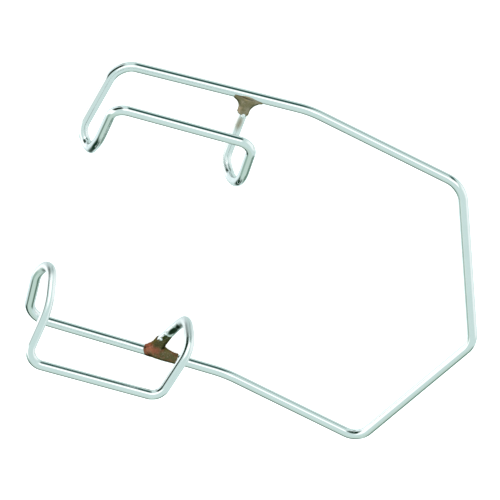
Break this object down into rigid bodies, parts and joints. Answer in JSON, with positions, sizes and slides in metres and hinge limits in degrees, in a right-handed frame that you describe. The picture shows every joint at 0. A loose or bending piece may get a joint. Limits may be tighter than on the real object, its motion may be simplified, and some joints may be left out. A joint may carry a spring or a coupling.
{
  "type": "eyelid speculum",
  "caption": "Spring-wire eyelid speculum with open hooked lid blades on a V-backed wire frame that squeezes closed and springs back open.",
  "frame": {"origin": "centre of the instrument's box, on the plane that its blade arms lie on", "axes": "+X from the blades to the spring's apex, +Y to the upper blade, +Z from the blade arms to the lid bars"},
  "size_m": [0.0418, 0.0316, 0.0092],
  "materials": {
    "wire": "polished stainless spring wire",
    "braze": "heat-stained braze"
  },
  "bodies": {
    "spring_apex": {"spring_apex_bend": "wire"},
    "upper_rear": {"upper_rear_leg": "wire"},
    "lower_rear": {"lower_rear_leg": "wire"},
    "upper_blade": {"upper_shoulder_bend": "wire", "upper_shank": "wire", "upper_arm_bend": "wire", "upper_blade_arm": "wire", "upper_front_hook": "wire", "upper_lid_bar": "wire", "upper_rear_hook": "wire", "upper_braze_fillet": "braze"},
    "lower_blade": {"lower_shoulder_bend": "wire", "lower_shank": "wire", "lower_arm_bend": "wire", "lower_blade_arm": "wire", "lower_front_hook": "wire", "lower_lid_bar": "wire", "lower_rear_hook": "wire", "lower_braze_fillet": "braze"}
  },
  "joints": [
    {"name": "upper_apex_flex", "type": "hinge", "parent": "spring_apex", "child": "upper_rear", "pos_m": [0.02025, 0.001, 0.00854], "axis": [-0.3697, 0, 0.9291], "range_deg": [-1, 4.4], "stiffness_Nm_per_rad": 0.5},
    {"name": "upper_shoulder_flex", "type": "hinge", "parent": "upper_rear", "child": "upper_blade", "pos_m": [0.01535, 0.01383, 0.00673], "axis": [-0.3697, 0, 0.9291], "range_deg": [-1, 4.4], "stiffness_Nm_per_rad": 0.5},
    {"name": "lower_apex_flex", "type": "hinge", "parent": "spring_apex", "child": "lower_rear", "pos_m": [0.02021, -0.00087, 0.0085], "axis": [0.3697, 0, -0.9291], "range_deg": [-1, 4.4], "stiffness_Nm_per_rad": 0.5},
    {"name": "lower_shoulder_flex", "type": "hinge", "parent": "lower_rear", "child": "lower_blade", "pos_m": [0.01442, -0.01385, 0.00605], "axis": [0.3697, 0, -0.9291], "range_deg": [-1, 4.4], "stiffness_Nm_per_rad": 0.5}
  ],
  "couplings": [
    {"joint": "upper_shoulder_flex", "follows": "upper_apex_flex", "ratio": 1},
    {"joint": "lower_apex_flex", "follows": "upper_apex_flex", "ratio": 1},
    {"joint": "lower_shoulder_flex", "follows": "upper_apex_flex", "ratio": 1}
  ]
}
